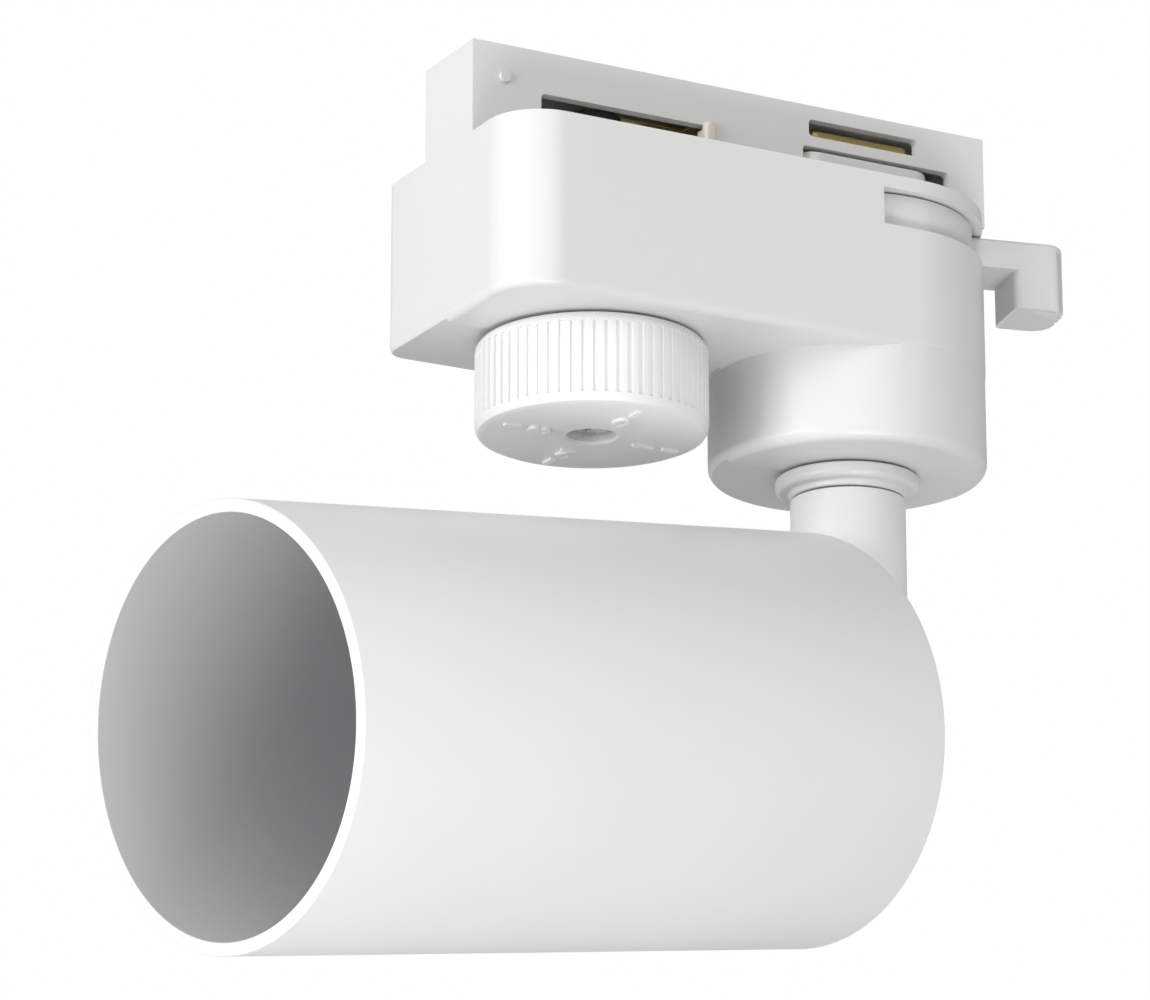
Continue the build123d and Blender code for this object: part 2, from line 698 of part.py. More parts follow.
bracket_back = cap_front
bracket_front = bracket_back + bracket_thickness
holder_front = bracket_front + holder_depth
cap_screw_place = 17.0
holder_screw_place = 9.0

with BuildPart() as rear_cap:
    with BuildSketch(head.offset(cap_back)):
        Circle(tube_bore)
    extrude(amount=cap_thickness)
    with BuildSketch(head.offset(cap_front)):
        Circle(tube_bore)
        Circle(tube_bore - 2.2, mode=Mode.SUBTRACT)
    extrude(amount=cap_skirt)
    for outward in (1, -1):
        with BuildSketch(turn.offset(outward * ear_inner)):
            Circle(knuckle_radius)
        extrude(amount=outward * ear_thickness)
        with BuildSketch(head):
            with Locations((outward * (ear_inner + ear_outer) / 2, 0)):
                Rectangle(ear_thickness, 2 * knuckle_radius)
        extrude(amount=cap_back)
    with BuildSketch(turn.offset(-ear_outer - 1)):
        Circle(pivot_radius + running)
    extrude(amount=2 * ear_outer + 2, mode=Mode.SUBTRACT)
    with BuildSketch(head.offset(cap_back)):
        Circle(4.2)
        with Locations((cap_screw_place, 0), (-cap_screw_place, 0)):
            Circle(1.6)
    extrude(amount=cap_thickness, mode=Mode.SUBTRACT)
rear_cap.part.label = "rear_cap"
export_step(rear_cap.part, "parts/rear_cap.step")

with BuildPart() as lead_grommet:
    with BuildSketch(head.offset(cap_back - 0.8)):
        Circle(grommet_flange)
    extrude(amount=0.8)
    with BuildSketch(head.offset(cap_back)):
        Circle(4.2)
    extrude(amount=cap_thickness)
    with BuildSketch(head.offset(cap_back - 0.8)):
        Circle(2.6)
    extrude(amount=cap_thickness + 0.8, mode=Mode.SUBTRACT)
lead_grommet.part.label = "lead_grommet"
export_step(lead_grommet.part, "parts/lead_grommet.step")

with BuildPart() as cap_screws:
    with BuildSketch(head.offset(cap_back - 1.6)):
        with Locations((cap_screw_place, 0), (-cap_screw_place, 0)):
            Circle(2.8)
    extrude(amount=1.6)
    with BuildSketch(head.offset(cap_back)):
        with Locations((cap_screw_place, 0), (-cap_screw_place, 0)):
            Circle(1.5)
    extrude(amount=cap_thickness + bracket_thickness + 1.5)
    with BuildSketch(head.offset(cap_back - 1.6)):
        with Locations((cap_screw_place, 0), (-cap_screw_place, 0)):
            Rectangle(3.4, 0.8)
            Rectangle(0.8, 3.4)
    extrude(amount=1.0, mode=Mode.SUBTRACT)
cap_screws.part.label = "cap_screws"
export_step(cap_screws.part, "parts/cap_screws.step")

with BuildPart() as holder_bracket:
    with BuildSketch(head.offset(bracket_back)):
        RectangleRounded(2 * cap_screw_place + 8.0, 14.0, 3.0)
        Circle(3.4, mode=Mode.SUBTRACT)
        with Locations((cap_screw_place, 0), (-cap_screw_place, 0)):
            Circle(1.5, mode=Mode.SUBTRACT)
        with Locations((holder_screw_place, 0), (-holder_screw_place, 0)):
            Circle(1.25, mode=Mode.SUBTRACT)
    extrude(amount=bracket_thickness)
holder_bracket.part.label = "holder_bracket"
export_step(holder_bracket.part, "parts/holder_bracket.step")

with BuildPart() as lamp_holder:
    with BuildSketch(head.offset(bracket_front)):
        Circle(holder_radius)
        with Locations((holder_screw_place, 0), (-holder_screw_place, 0)):
            Circle(1.25, mode=Mode.SUBTRACT)
    extrude(amount=holder_depth)
    with BuildSketch(head.offset(holder_front - 7.2)):
        with Locations((0, pin_pitch / 2), (0, -pin_pitch / 2)):
            Circle(2.8)
    extrude(amount=7.2, mode=Mode.SUBTRACT)
    with BuildSketch(head.offset(holder_front - 3.0)):
        with Locations((holder_screw_place, 0), (-holder_screw_place, 0)):
            Circle(2.4)
    extrude(amount=3.0, mode=Mode.SUBTRACT)
    with BuildSketch(head.offset(bracket_front)):
        with Locations((lead_spacing / 2, 0), (-lead_spacing / 2, 0)):
            Circle(lead_radius)
    extrude(amount=3.0, mode=Mode.SUBTRACT)
lamp_holder.part.label = "lamp_holder"
export_step(lamp_holder.part, "parts/lamp_holder.step")

with BuildPart() as holder_screws:
    with BuildSketch(head.offset(bracket_back + 0.2)):
        with Locations((holder_screw_place, 0), (-holder_screw_place, 0)):
            Circle(1.25)
    extrude(amount=bracket_thickness + holder_depth - 3.2)
    with BuildSketch(head.offset(holder_front - 3.0)):
        with Locations((holder_screw_place, 0), (-holder_screw_place, 0)):
            Circle(2.2)
    extrude(amount=1.6)
holder_screws.part.label = "holder_screws"
export_step(holder_screws.part, "parts/holder_screws.step")

# reflector lamp: a round base that widens to its rim; its face is a clear lens
lamp_back = holder_front
lamp_front = lamp_back + lamp_length
lens_thickness = 2.5
section = Plane(origin=pivot, x_dir=side, z_dir=(head.y_dir.X, head.y_dir.Y, head.y_dir.Z))
out = -1 if section.y_dir.dot(head.z_dir) < 0 else 1

with BuildPart() as lamp_body:
    with BuildSketch(section):
        with BuildLine():
            Polyline(
                (0, out * lamp_back), (10.5, out * lamp_back), (10.5, out * (lamp_back + 7)),
                (lamp_radius, out * (lamp_front - 6)), (lamp_radius, out * lamp_front),
                (lamp_radius - 2, out * lamp_front),
                (lamp_radius - 2, out * (lamp_front - lens_thickness)),
                (8.5, out * (lamp_back + 11)), (0, out * (lamp_back + 11)), (0, out * lamp_back))
        make_face()
    revolve(axis=Axis(pivot, forward))
lamp_body.part.label = "lamp_body"
export_step(lamp_body.part, "parts/lamp_body.step")

with BuildPart() as lamp_lens:
    with BuildSketch(head.offset(lamp_front - lens_thickness)):
        Circle(lamp_radius - 2)
    extrude(amount=lens_thickness - 0.4)
lamp_lens.part.label = "lamp_lens"
export_step(lamp_lens.part, "parts/lamp_lens.step")

with BuildPart() as lamp_pins:
    with BuildSketch(head.offset(lamp_back - 7.0)):
        with Locations((0, pin_pitch / 2), (0, -pin_pitch / 2)):
            Circle(2.4)
    extrude(amount=2.5)
    with BuildSketch(head.offset(lamp_back - 4.5)):
        with Locations((0, pin_pitch / 2), (0, -pin_pitch / 2)):
            Circle(1.4)
    extrude(amount=4.5)
lamp_pins.part.label = "lamp_pins"
export_step(lamp_pins.part, "parts/lamp_pins.step")

with BuildPart() as retaining_ring:
    with BuildSketch(head.offset(lamp_front + 0.1)):
        Circle(tube_bore)
        Circle(tube_bore - 1.8, mode=Mode.SUBTRACT)
        with Locations((0, tube_bore)):
            Rectangle(4.0, 6.0, mode=Mode.SUBTRACT)
    extrude(amount=1.2)
retaining_ring.part.label = "retaining_ring"
export_step(retaining_ring.part, "parts/retaining_ring.step")

# ---------------------------------------------------------------- leads
lead_meet = nipple_top - 1.0
with BuildPart() as adapter_leads:
    for y, x in (
            (-0.5 * lead_spacing, live_foot_x - lead_radius),
            (0.5 * lead_spacing, neutral_foot_x + terminal_thickness + lead_radius)):
        with BuildLine() as route:
            FilletPolyline(
                (x, y, terminal_foot + 3.0), (x, y, -16.0), (0, y, -19.0), (0, y, lead_meet),
                radius=2.5)
        with BuildSketch(Plane(origin=route.line @ 0, z_dir=route.line % 0)):
            Circle(lead_radius)
        sweep(path=route.line)
adapter_leads.part.label = "adapter_leads"
export_step(adapter_leads.part, "parts/adapter_leads.step")

with BuildPart() as stem_leads:
    with BuildSketch(stem_frame.offset(-pivot_drop + 1.2)):
        with Locations((lead_spacing / 2, 0), (-lead_spacing / 2, 0)):
            Circle(lead_radius)
    extrude(amount=lead_meet - 0.3 + pivot_drop - 1.2)
stem_leads.part.label = "stem_leads"
export_step(stem_leads.part, "parts/stem_leads.step")

with BuildPart() as head_leads:
    with BuildSketch(head.offset(1.2)):
        with Locations((lead_spacing / 2, 0), (-lead_spacing / 2, 0)):
            Circle(lead_radius)
    extrude(amount=bracket_front + 3.0 - 1.2)
head_leads.part.label = "head_leads"
export_step(head_leads.part, "parts/head_leads.step")
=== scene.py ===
import json
import math

import bmesh
import bpy
from mathutils import Matrix, Vector


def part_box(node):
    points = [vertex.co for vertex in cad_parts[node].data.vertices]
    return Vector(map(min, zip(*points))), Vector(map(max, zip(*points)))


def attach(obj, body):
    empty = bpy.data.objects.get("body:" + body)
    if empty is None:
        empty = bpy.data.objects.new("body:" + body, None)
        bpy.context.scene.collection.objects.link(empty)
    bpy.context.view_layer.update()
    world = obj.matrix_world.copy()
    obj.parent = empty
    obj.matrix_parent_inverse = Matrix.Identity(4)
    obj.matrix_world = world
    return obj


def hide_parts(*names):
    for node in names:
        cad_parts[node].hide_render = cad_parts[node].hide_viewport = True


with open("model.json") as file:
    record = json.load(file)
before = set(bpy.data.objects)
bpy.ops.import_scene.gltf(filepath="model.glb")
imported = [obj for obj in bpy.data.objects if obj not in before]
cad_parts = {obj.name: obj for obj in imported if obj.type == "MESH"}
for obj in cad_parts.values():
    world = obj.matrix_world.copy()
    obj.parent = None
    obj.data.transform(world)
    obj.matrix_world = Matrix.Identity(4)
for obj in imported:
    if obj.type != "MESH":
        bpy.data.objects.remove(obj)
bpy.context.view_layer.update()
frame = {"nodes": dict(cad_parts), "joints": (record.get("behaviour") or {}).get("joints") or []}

# The spotlight hangs from its track, so it is seen from below and from the side of the
# selector knob. The room is bright and white, with soft lights to the left, above and below.
scene = bpy.context.scene
scene.view_settings.view_transform = "Standard"
camera_data = bpy.data.cameras.new("viewing_camera")
camera_data.lens = 159.43
camera_data.sensor_width = 36.0
camera_data.clip_end = 20.0
camera = bpy.data.objects.new("viewing_camera", camera_data)
scene.collection.objects.link(camera)
camera.location = (-0.3484, -0.5623, -0.2358)
camera_yaw = math.radians(28.586)
camera_pitch = math.radians(16.513)
looking = Vector((
    math.sin(camera_yaw) * math.cos(camera_pitch),
    math.cos(camera_yaw) * math.cos(camera_pitch),
    math.sin(camera_pitch)))
camera.rotation_euler = looking.to_track_quat("-Z", "Y").to_euler()
scene.camera = camera

room = bpy.data.worlds.new("white_room")
scene.world = room
room.use_nodes = True
room_nodes = room.node_tree.nodes
room_light = room_nodes["Background"]
room_light.inputs["Color"].default_value = (1.0, 1.0, 1.0, 1.0)
room_light.inputs["Strength"].default_value = 0.43
room_wall = room_nodes.new("ShaderNodeBackground")
room_wall.inputs["Color"].default_value = (1.0, 1.0, 1.0, 1.0)
room_wall.inputs["Strength"].default_value = 1.0
seen = room_nodes.new("ShaderNodeLightPath")
room_mix = room_nodes.new("ShaderNodeMixShader")
room.node_tree.links.new(seen.outputs["Is Camera Ray"], room_mix.inputs["Fac"])
room.node_tree.links.new(room_light.outputs[0], room_mix.inputs[1])
room.node_tree.links.new(room_wall.outputs[0], room_mix.inputs[2])
room.node_tree.links.new(room_mix.outputs[0], room_nodes["World Output"].inputs["Surface"])

floor_mesh = bpy.data.meshes.new("studio_floor")
floor_bm = bmesh.new()
bmesh.ops.create_grid(floor_bm, x_segments=1, y_segments=1, size=6.0)
bmesh.ops.translate(floor_bm, verts=floor_bm.verts, vec=(0.0, 0.0, -0.62))
floor_bm.to_mesh(floor_mesh)
floor_bm.free()
floor = bpy.data.objects.new("studio_floor", floor_mesh)
scene.collection.objects.link(floor)
floor_paint = bpy.data.materials.new("studio_floor_paint")
floor_paint.use_nodes = True
floor_shader = floor_paint.node_tree.nodes["Principled BSDF"]
floor_shader.inputs["Base Color"].default_value = (0.8, 0.8, 0.8, 1.0)
floor_shader.inputs["Roughness"].default_value = 0.6
floor_mesh.materials.append(floor_paint)


def soft_light(name, place, aim, size, power):
    """A large square lamp that points from one place to another."""
    data = bpy.data.lights.new(name, "AREA")
    data.shape = "SQUARE"
    data.size = size
    data.energy = power
    lamp = bpy.data.objects.new(name, data)
    scene.collection.objects.link(lamp)
    lamp.location = place
    lamp.rotation_euler = (Vector(aim) - Vector(place)).to_track_quat("-Z", "Y").to_euler()


soft_light("left_light", (-1.40, -0.28, 0.00), (-0.03, 0.0, -0.05), 0.8, 14.5)
soft_light("high_light", (-0.30, -1.20, 0.90), (-0.04, 0.0, -0.07), 1.0, 5.6)
soft_light("low_light", (-0.10, -0.42, -0.62), (-0.05, 0.0, -0.09), 0.40, 3.6)


# The skin that every moulded, coated or plated piece shares: a slow mottle in the colour,
# a fine grain, and paler, more polished edges on the small pieces. The wear mask is worked
# out at vertices and would spread over wide flat faces, so the large pieces turn it off.
skin = bpy.data.node_groups.new("finished_skin", "ShaderNodeTree")
for socket, kind, start in (
        ("Colour", "NodeSocketColor", (0.8, 0.8, 0.8, 1.0)),
        ("Edge Colour", "NodeSocketColor", (0.9, 0.9, 0.9, 1.0)),
        ("Roughness", "NodeSocketFloat", 0.4),
        ("Roughness Change", "NodeSocketFloat", 0.08),
        ("Mottle", "NodeSocketFloat", 0.04),
        ("Mottle Scale", "NodeSocketFloat", 60.0),
        ("Grain Scale", "NodeSocketFloat", 2500.0),
        ("Edge Wear", "NodeSocketFloat", 0.5)):
    made = skin.interface.new_socket(name=socket, in_out="INPUT", socket_type=kind)
    made.default_value = start
skin.interface.new_socket(name="Colour", in_out="OUTPUT", socket_type="NodeSocketColor")
skin.interface.new_socket(name="Roughness", in_out="OUTPUT", socket_type="NodeSocketFloat")
skin.interface.new_socket(name="Height", in_out="OUTPUT", socket_type="NodeSocketFloat")
skin_in = skin.nodes.new("NodeGroupInput")
skin_out = skin.nodes.new("NodeGroupOutput")
skin_place = skin.nodes.new("ShaderNodeTexCoord")
mottle_noise = skin.nodes.new("ShaderNodeTexNoise")
mottle_noise.inputs["Detail"].default_value = 4.0
grain_noise = skin.nodes.new("ShaderNodeTexNoise")
grain_noise.inputs["Detail"].default_value = 3.0
grain_noise.inputs["Roughness"].default_value = 0.6
for noise, size in ((mottle_noise, "Mottle Scale"), (grain_noise, "Grain Scale")):
    skin.links.new(skin_place.outputs["Object"], noise.inputs["Vector"])
    skin.links.new(skin_in.outputs[size], noise.inputs["Scale"])
mottle_centre = skin.nodes.new("ShaderNodeMath")
mottle_centre.operation = "SUBTRACT"
mottle_centre.inputs[1].default_value = 0.5
skin.links.new(mottle_noise.outputs["Fac"], mottle_centre.inputs[0])
mottle_depth = skin.nodes.new("ShaderNodeMath")
mottle_depth.operation = "MULTIPLY"
skin.links.new(mottle_centre.outputs[0], mottle_depth.inputs[0])
skin.links.new(skin_in.outputs["Mottle"], mottle_depth.inputs[1])
mottle_value = skin.nodes.new("ShaderNodeMath")
mottle_value.operation = "MULTIPLY_ADD"
mottle_value.inputs[1].default_value = 4.0
mottle_value.inputs[2].default_value = 1.0
skin.links.new(mottle_depth.outputs[0], mottle_value.inputs[0])
mottled = skin.nodes.new("ShaderNodeHueSaturation")
skin.links.new(skin_in.outputs["Colour"], mottled.inputs["Color"])
skin.links.new(mottle_value.outputs[0], mottled.inputs["Value"])
sharp = skin.nodes.new("ShaderNodeNewGeometry")
edge_mask = skin.nodes.new("ShaderNodeMapRange")
edge_mask.inputs["From Min"].default_value = 0.52
edge_mask.inputs["From Max"].default_value = 0.62
skin.links.new(sharp.outputs["Pointiness"], edge_mask.inputs["Value"])
edge_amount = skin.nodes.new("ShaderNodeMath")
edge_amount.operation = "MULTIPLY"
skin.links.new(edge_mask.outputs["Result"], edge_amount.inputs[0])
skin.links.new(skin_in.outputs["Edge Wear"], edge_amount.inputs[1])
edge_colour = skin.nodes.new("ShaderNodeMix")
edge_colour.data_type = "RGBA"
skin.links.new(edge_amount.outputs[0], edge_colour.inputs["Factor"])
skin.links.new(mottled.outputs["Color"], edge_colour.inputs["A"])
skin.links.new(skin_in.outputs["Edge Colour"], edge_colour.inputs["B"])
skin.links.new(edge_colour.outputs["Result"], skin_out.inputs["Colour"])
rough_change = skin.nodes.new("ShaderNodeMath")
rough_change.operation = "MULTIPLY"
skin.links.new(mottle_centre.outputs[0], rough_change.inputs[0])
skin.links.new(skin_in.outputs["Roughness Change"], rough_change.inputs[1])
rough_sum = skin.nodes.new("ShaderNodeMath")
rough_sum.operation = "MULTIPLY_ADD"
rough_sum.inputs[1].default_value = 4.0
skin.links.new(rough_change.outputs[0], rough_sum.inputs[0])
skin.links.new(skin_in.outputs["Roughness"], rough_sum.inputs[2])
rough_edge = skin.nodes.new("ShaderNodeMath")
rough_edge.operation = "MULTIPLY_ADD"
rough_edge.inputs[1].default_value = -0.1
skin.links.new(edge_amount.outputs[0], rough_edge.inputs[0])
skin.links.new(rough_sum.outputs[0], rough_edge.inputs[2])
skin.links.new(rough_edge.outputs[0], skin_out.inputs["Roughness"])
skin.links.new(grain_noise.outputs["Fac"], skin_out.inputs["Height"])


def finish_material(name, colour, edge, rough, change, mottle, scale, grain, wear, depth, metal):
    """A material on the shared skin, with its own Principled shader and bump."""
    made = bpy.data.materials.new(name)
    made.use_nodes = True
    nodes = made.node_tree.nodes
    links = made.node_tree.links
    shader = nodes["Principled BSDF"]
    shader.inputs["Metallic"].default_value = metal
    surface = nodes.new("ShaderNodeGroup")
    surface.node_tree = skin
    surface.inputs["Colour"].default_value = (*colour, 1.0)
    surface.inputs["Edge Colour"].default_value = (*edge, 1.0)
    surface.inputs["Roughness"].default_value = rough
    surface.inputs["Roughness Change"].default_value = change
    surface.inputs["Mottle"].default_value = mottle
    surface.inputs["Mottle Scale"].default_value = scale
    surface.inputs["Grain Scale"].default_value = grain
    surface.inputs["Edge Wear"].default_value = wear
    links.new(surface.outputs["Colour"], shader.inputs["Base Color"])
    links.new(surface.outputs["Roughness"], shader.inputs["Roughness"])
    relief = nodes.new("ShaderNodeBump")
    relief.inputs["Distance"].default_value = depth
    relief.inputs["Strength"].default_value = 0.5
    links.new(surface.outputs["Height"], relief.inputs["Height"])
    links.new(relief.outputs["Normal"], shader.inputs["Normal"])
    return made


def give(node, material):
    """Puts a material on a piece in place of what it came with."""
    piece = frame["nodes"][node] if isinstance(node, str) else node
    piece.data.materials.clear()
    piece.data.materials.append(material)


def keep_piece(name, bm, material, body, smooth=40.0):
    """Turns a finished bmesh into a piece that rides on its body."""
    mesh = bpy.data.meshes.new(name)
    bm.to_mesh(mesh)
    bm.free()
    mesh.materials.append(material)
    piece = bpy.data.objects.new(name, mesh)
    scene.collection.objects.link(piece)
    mesh.polygons.foreach_set("use_smooth", [True] * len(mesh.polygons))
    mesh.set_sharp_from_angle(angle=math.radians(smooth))
    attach(piece, body)
    return piece


def soften(node, width, segments=2, angle=40.0):
    """Gives a CAD node's hard edges the small radius of the real piece."""
    piece = frame["nodes"][node]
    weld = piece.modifiers.new("weld", "WELD")
    weld.merge_threshold = 0.000004
    flat = piece.modifiers.new("flat_faces", "DECIMATE")
    flat.decimate_type = "DISSOLVE"
    flat.angle_limit = math.radians(0.6)
    rounding = piece.modifiers.new("small_radius", "BEVEL")
    rounding.width = width
    rounding.segments = segments
    rounding.limit_method = "ANGLE"
    rounding.angle_limit = math.radians(angle)
    shading = piece.modifiers.new("even_shading", "WEIGHTED_NORMAL")
    shading.weight = 100
    shading.keep_sharp = False
    piece.data.polygons.foreach_set("use_smooth", [True] * len(piece.data.polygons))


# The adapter's two half shells are satin white polycarbonate mouldings, screwed together
# from behind. The side that faces the room has a moulded pip near the left end.
housing_white = finish_material(
    "housing_white", (0.72, 0.72, 0.71), (0.86, 0.86, 0.85), 0.34, 0.05, 0.010, 45.0,
    2600.0, 0.0, 0.00002, 0.0)
for shell in ("front_shell", "rear_shell"):
    give(shell, housing_white)
    soften(shell, 0.00035)

# Three zinc-plated screws with crossed recesses draw the rear shell against the front one.
# The small screw in the knob is the same, as are the lampholder's and the cap's.
bright_zinc = finish_material(
    "bright_zinc", (0.62, 0.62, 0.63), (0.82, 0.82, 0.82), 0.26, 0.12, 0.03, 400.0,
    5200.0, 0.8, 0.00001, 1.0)
for screws in ("shell_screws", "knob_screw", "holder_screws", "cap_screws", "pivot_screws"):
    give(screws, bright_zinc)
    soften(screws, 0.00012)

# The polarity peg stands in the tongue's front wall, at the right end of the long slot. It
# is a plain tab of cream nylon.
peg_cream = finish_material(
    "peg_cream", (0.70, 0.66, 0.55), (0.80, 0.77, 0.68), 0.42, 0.06, 0.03, 500.0,
    2400.0, 0.4, 0.00002, 0.0)
give("polarity_peg", peg_cream)

# Stamped brass makes both terminals, the selector's three blades and the neutral blade.
# The rubbed faces are bright, and the sheltered ones have dulled to brown.
contact_brass = finish_material(
    "contact_brass", (0.42, 0.31, 0.12), (0.72, 0.58, 0.28), 0.34, 0.20, 0.10, 350.0,
    3800.0, 0.9, 0.00001, 1.0)
for blade in ("live_terminal", "neutral_terminal", "live_contacts", "neutral_contact"):
    give(blade, contact_brass)
    soften(blade, 0.0001)

# The selector's shaft is a dark glass-filled nylon, to insulate the knob from its blades.
# A leaf of spring steel bears on its square and gives the knob its four clicks.
shaft_nylon = finish_material(
    "shaft_nylon", (0.035, 0.034, 0.033), (0.10, 0.10, 0.10), 0.50, 0.10, 0.08, 300.0,
    2200.0, 0.5, 0.00003, 0.0)
give("selector_shaft", shaft_nylon)
soften("selector_shaft", 0.0002)
spring_steel = finish_material(
    "spring_steel", (0.45, 0.46, 0.48), (0.70, 0.70, 0.72), 0.30, 0.12, 0.05, 300.0,
    4200.0, 0.7, 0.00001, 1.0)
give("detent_spring", spring_steel)
give("wave_washer", spring_steel)

# The selector knob is a white moulded drum. Fine upright flutes for the fingertips run all
# round between two smooth lips, and its face has a screw recess and the digits of a dial.
knob_white = finish_material(
    "knob_white", (0.82, 0.82, 0.81), (0.90, 0.90, 0.89), 0.38, 0.05, 0.012, 60.0,
    2800.0, 0.5, 0.00002, 0.0)
knob_low, knob_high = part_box("selector_knob")
knob_radius = (knob_high.x - knob_low.x) / 2
knob_x = (knob_high.x + knob_low.x) / 2
knob_height = 0.0126
flutes = 64
screw_hole = 0.00145
recess_radius = 0.0033
recess_floor = 0.0030
knob = bmesh.new()
knob_profile = [
    (screw_hole, 0.0042), (screw_hole, recess_floor), (0.0031, recess_floor),
    (recess_radius, 0.0028), (recess_radius, 0.0003),
    (0.0036, 0.0), (knob_radius - 0.0011, 0.0), (knob_radius - 0.0004, 0.0003),
    (knob_radius - 0.0001, 0.0008), (knob_radius, 0.0014), (knob_radius, 0.0112),
    (knob_radius - 0.00012, 0.0118), (knob_radius - 0.0006, 0.0124), (0.012, knob_height),
    (0.0028, knob_height)]
rail = [knob.verts.new((radius, 0.0, height)) for radius, height in knob_profile]
rail_edges = [knob.edges.new(pair) for pair in zip(rail, rail[1:])]
bmesh.ops.spin(
    knob, geom=rail + rail_edges, cent=(0.0, 0.0, 0.0), axis=(0.0, 0.0, 1.0),
    angle=math.tau, steps=2 * flutes, use_merge=True)
bmesh.ops.remove_doubles(knob, verts=knob.verts, dist=0.000001)
bmesh.ops.recalc_face_normals(knob, faces=knob.faces)
band = [
    face for face in knob.faces
    if math.hypot(face.calc_center_median().x, face.calc_center_median().y) > knob_radius - 0.0001
    and 0.002 < face.calc_center_median().z < 0.0108]
band.sort(key=lambda face: math.atan2(face.calc_center_median().y, face.calc_center_median().x))
bmesh.ops.inset_individual(knob, faces=band[::2], thickness=0.00012, depth=-0.00032)
bmesh.ops.translate(knob, verts=knob.verts, vec=(knob_x, 0.0, knob_low.z))
knob_piece = keep_piece("fluted_knob", knob, knob_white, "selector", 32.0)
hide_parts("selector_knob")

# The dial's digits stand a little proud of the knob's face, and read from outside.
digit_size = 0.0046
digit_circle = 0.0076
dial_proud = 0.00005
dial = bmesh.new()
for digit, turn in (("0", 0), ("1", 90), ("2", 180), ("3", 270)):
    letters = bpy.data.curves.new("dial_digit", "FONT")
    letters.body = digit
    letters.size = digit_size
    letters.align_x = "CENTER"
    letters.align_y = "CENTER"
    letters.extrude = 0.00035
    letters.offset = 0.00006
    letters.resolution_u = 4
    carrier = bpy.data.objects.new("dial_digit", letters)
    flat_mesh = bpy.data.meshes.new_from_object(carrier)
    flat_mesh.transform(Matrix.Rotation(math.pi, 4, "X"))
    flat_mesh.transform(Matrix.Translation((0.0, -digit_circle, 0.0)))
    flat_mesh.transform(Matrix.Rotation(math.radians(turn), 4, "Z"))
    flat_mesh.transform(Matrix.Translation((knob_x, 0.0, knob_low.z - dial_proud)))
    dial.from_mesh(flat_mesh)
    bpy.data.objects.remove(carrier)
    bpy.data.meshes.remove(flat_mesh)
    bpy.data.curves.remove(letters)
for turn in (0, 90, 180, 270):
    tick = bmesh.ops.create_cube(dial, size=1.0)["verts"]
    bmesh.ops.scale(dial, verts=tick, vec=(0.0008, 0.0024, 0.0006))
    bmesh.ops.translate(dial, verts=tick, vec=(0.0, -0.0118, 0.0))
    bmesh.ops.rotate(
        dial, verts=tick, cent=(0.0, 0.0, 0.0),
        matrix=Matrix.Rotation(math.radians(turn), 3, "Z"))
    bmesh.ops.translate(dial, verts=tick, vec=(knob_x, 0.0, knob_low.z - dial_proud))
bmesh.ops.remove_doubles(dial, verts=dial.verts, dist=0.000002)
bmesh.ops.recalc_face_normals(dial, faces=dial.faces)
digit_white = finish_material(
    "digit_white", (0.93, 0.93, 0.92), (0.96, 0.96, 0.95), 0.30, 0.05, 0.010, 60.0,
    2800.0, 0.5, 0.00001, 0.0)
keep_piece("dial_digits", dial, digit_white, "selector", 30.0)

# The lock lever and its wing are white mouldings. The hub lies between the roof and a shelf,
# the grip hangs down outside, and the wing turns out over the track's lips.
lever_white = finish_material(
    "lever_white", (0.69, 0.69, 0.675), (0.85, 0.85, 0.84), 0.36, 0.06, 0.014, 60.0,
    2600.0, 0.5, 0.00002, 0.0)
give("lock_lever", lever_white)
soften("lock_lever", 0.0004, 3)
give("lock_wing", lever_white)
soften("lock_wing", 0.0009, 4)

# The swivel collar is a smooth white moulding with a thin bush below it. It rides on a
# hollow threaded nipple, held above by a fibre washer, a stop washer and a hexagon nut.
collar_white = finish_material(
    "collar_white", (0.72, 0.72, 0.71), (0.88, 0.88, 0.87), 0.32, 0.05, 0.010, 60.0,
    2800.0, 0.4, 0.00002, 0.0)
give("swivel_collar", collar_white)
soften("swivel_collar", 0.0004, 3)
plated_steel = finish_material(
    "plated_steel", (0.52, 0.53, 0.55), (0.75, 0.75, 0.76), 0.34, 0.15, 0.05, 250.0,
    4600.0, 0.7, 0.00001, 1.0)
for fitting in ("stem_nipple", "stop_washer", "nipple_nut", "stem_bush", "holder_bracket"):
    give(fitting, plated_steel)
    soften(fitting, 0.00012)
red_fibre = finish_material(
    "red_fibre", (0.22, 0.07, 0.04), (0.32, 0.14, 0.09), 0.70, 0.10, 0.10, 500.0,
    1800.0, 0.3, 0.00004, 0.0)
give("friction_washer", red_fibre)
give("pivot_washers", red_fibre)

# The stem, its knuckle and the rear cap are aluminium with a white powder coat, whose fine
# orange peel catches the light.
coat_white = finish_material(
    "coat_white", (0.84, 0.84, 0.84), (0.90, 0.90, 0.90), 0.42, 0.05, 0.010, 40.0,
    1100.0, 0.0, 0.00003, 0.0)
for casting, radius in (("stem_tube", 0.00015), ("stem_knuckle", 0.0004), ("rear_cap", 0.0003)):
    give(casting, coat_white)
    soften(casting, radius)

